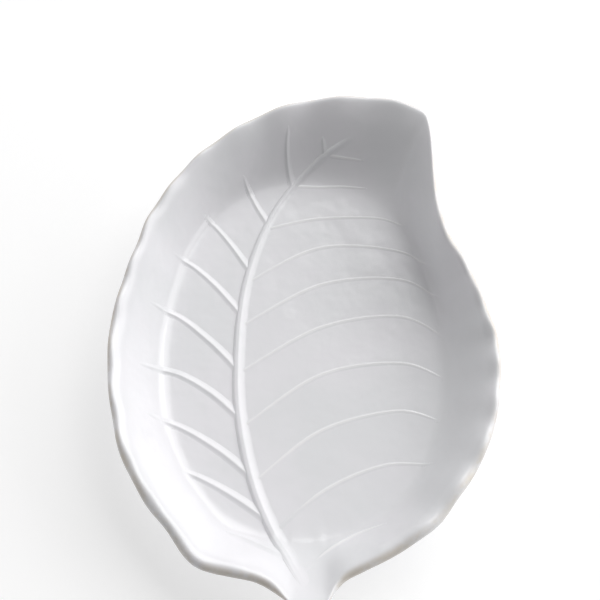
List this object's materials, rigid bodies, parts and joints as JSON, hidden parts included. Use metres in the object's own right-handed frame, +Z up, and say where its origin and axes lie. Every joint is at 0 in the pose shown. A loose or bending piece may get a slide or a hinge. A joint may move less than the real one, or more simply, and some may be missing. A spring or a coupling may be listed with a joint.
{
  "type": "leaf shaped serving plate",
  "caption": "Deep white glazed serving plate in the form of a leaf, with raised veins, a wavy rounded margin, a short stem and a bare standing ring.",
  "frame": {"origin": "middle of the plate's box, on the surface it stands on", "axes": "+X across the leaf to the right, +Y from the stem to the tip, +Z up"},
  "size_m": [0.2539, 0.3741, 0.0583],
  "materials": {
    "glazed_body": "glossy white glaze, pale beige where it thins on the lip",
    "glazed_stem": "glossy white glaze",
    "glazed_midrib": "glossy white glaze over a raised rib",
    "glazed_veins": "glossy white glaze over raised veins",
    "bare_clay": "unglazed, ground flat and matt"
  },
  "bodies": {
    "root": {"leaf_blade": "glazed_body", "foot_ring": "bare_clay", "stem": "glazed_stem", "midrib": "glazed_midrib", "left_vein_1": "glazed_veins", "left_vein_2": "glazed_veins", "left_vein_3": "glazed_veins", "left_vein_4": "glazed_veins", "left_vein_5": "glazed_veins", "left_vein_6": "glazed_veins", "left_vein_7": "glazed_veins", "left_vein_8": "glazed_veins", "left_vein_9": "glazed_veins", "left_vein_10": "glazed_veins", "right_vein_1": "glazed_veins", "right_vein_2": "glazed_veins", "right_vein_3": "glazed_veins", "right_vein_4": "glazed_veins", "right_vein_5": "glazed_veins", "right_vein_6": "glazed_veins", "right_vein_7": "glazed_veins", "right_vein_8": "glazed_veins", "right_vein_9": "glazed_veins", "right_vein_10": "glazed_veins"}
  },
  "joints": []
}
